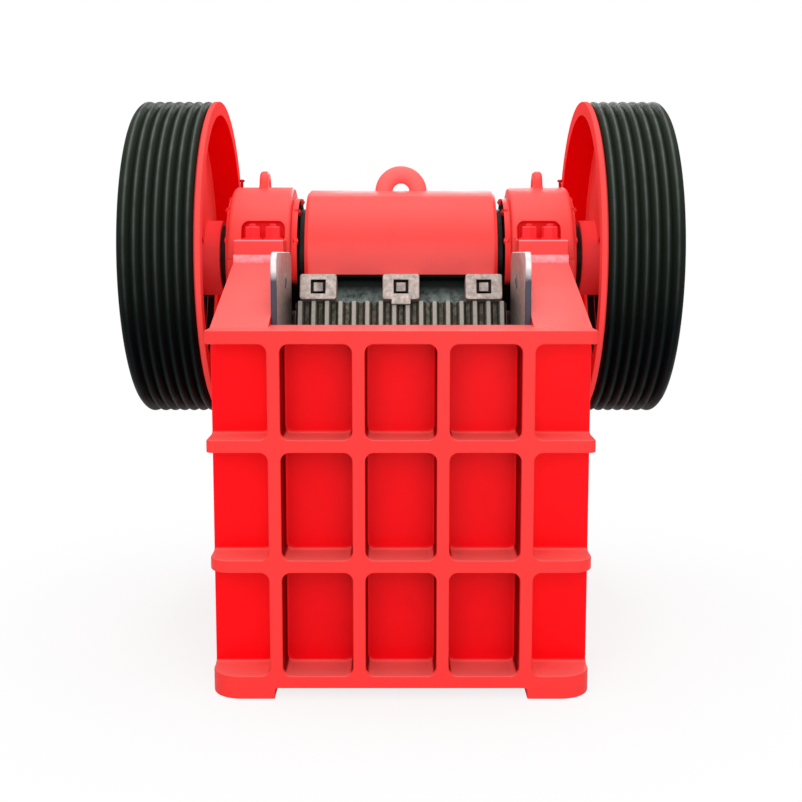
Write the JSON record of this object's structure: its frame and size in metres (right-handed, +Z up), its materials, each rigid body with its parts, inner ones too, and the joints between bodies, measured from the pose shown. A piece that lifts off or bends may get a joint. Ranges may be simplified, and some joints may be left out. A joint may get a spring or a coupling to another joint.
{
  "type": "jaw crusher",
  "caption": "Single-toggle jaw crusher: ribbed frame, toothed fixed and swinging jaws, eccentric shaft with grooved flywheels, toggle and tension rod.",
  "frame": {"origin": "on the floor, under the middle of the machine's bounding box", "axes": "+Z up; +X along the eccentric shaft, to the right seen from the feed side; the feed side faces -Y"},
  "size_m": [1.86, 1.7898, 1.843],
  "materials": {
    "red_paint": "semi-gloss coral red enamel",
    "black_paint": "satin black enamel",
    "manganese_steel": "rough cast, dusty, crests rubbed bright",
    "cheek_steel": "rolled steel plate, cut edges pale",
    "bare_steel": "machined, lightly oiled",
    "spring_steel": "black oiled"
  },
  "bodies": {
    "frame": {"adjusting_block": "red_paint", "adjusting_shims": "bare_steel", "base_rail_left": "red_paint", "base_rail_right": "red_paint", "bearing_cap_left": "red_paint", "bearing_cap_right": "red_paint", "bearing_seat_left": "red_paint", "bearing_seat_right": "red_paint", "cheek_plate_left": "cheek_steel", "cheek_plate_right": "cheek_steel", "cover_inner_left": "red_paint", "cover_inner_right": "red_paint", "cover_outer_left": "red_paint", "cover_outer_right": "red_paint", "fixed_jaw_plate": "manganese_steel", "front_upright_1": "red_paint", "front_upright_2": "red_paint", "front_upright_3": "red_paint", "front_upright_4": "red_paint", "front_wall": "red_paint", "rear_upright_left": "red_paint", "rear_upright_right": "red_paint", "rear_wall": "red_paint", "rib_ring_bottom": "red_paint", "rib_ring_lower": "red_paint", "rib_ring_upper": "red_paint", "rib_top": "red_paint", "side_upright_front_left": "red_paint", "side_upright_front_right": "red_paint", "side_upright_rear_left": "red_paint", "side_upright_rear_right": "red_paint", "side_wall_left": "red_paint", "side_wall_right": "red_paint", "spring_seat": "red_paint", "tension_spring": "spring_steel", "toggle_plate": "bare_steel", "top_flange_left": "red_paint", "top_flange_right": "red_paint"},
    "rotor": {"eccentric_shaft": "bare_steel", "flywheel_left": "red_paint", "flywheel_right": "red_paint", "ring_inner_left": "black_paint", "ring_inner_right": "black_paint", "ring_outer_left": "black_paint", "ring_outer_right": "black_paint"},
    "moving_jaw": {"jaw_clamps": "manganese_steel", "moving_jaw_body": "red_paint", "moving_jaw_plate": "manganese_steel", "tension_rod": "bare_steel"}
  },
  "joints": [
    {"name": "shaft_spin", "type": "hinge", "parent": "frame", "child": "rotor", "pos_m": [0, 0.10487, 1.285], "axis": [1, 0, 0], "continuous": true},
    {"name": "jaw_swing", "type": "hinge", "parent": "rotor", "child": "moving_jaw", "pos_m": [0, 0.10487, 1.272], "axis": [1, 0, 0], "continuous": true}
  ],
  "couplings": [
    {"joint": "jaw_swing", "follows": "shaft_spin", "ratio": -1}
  ]
}
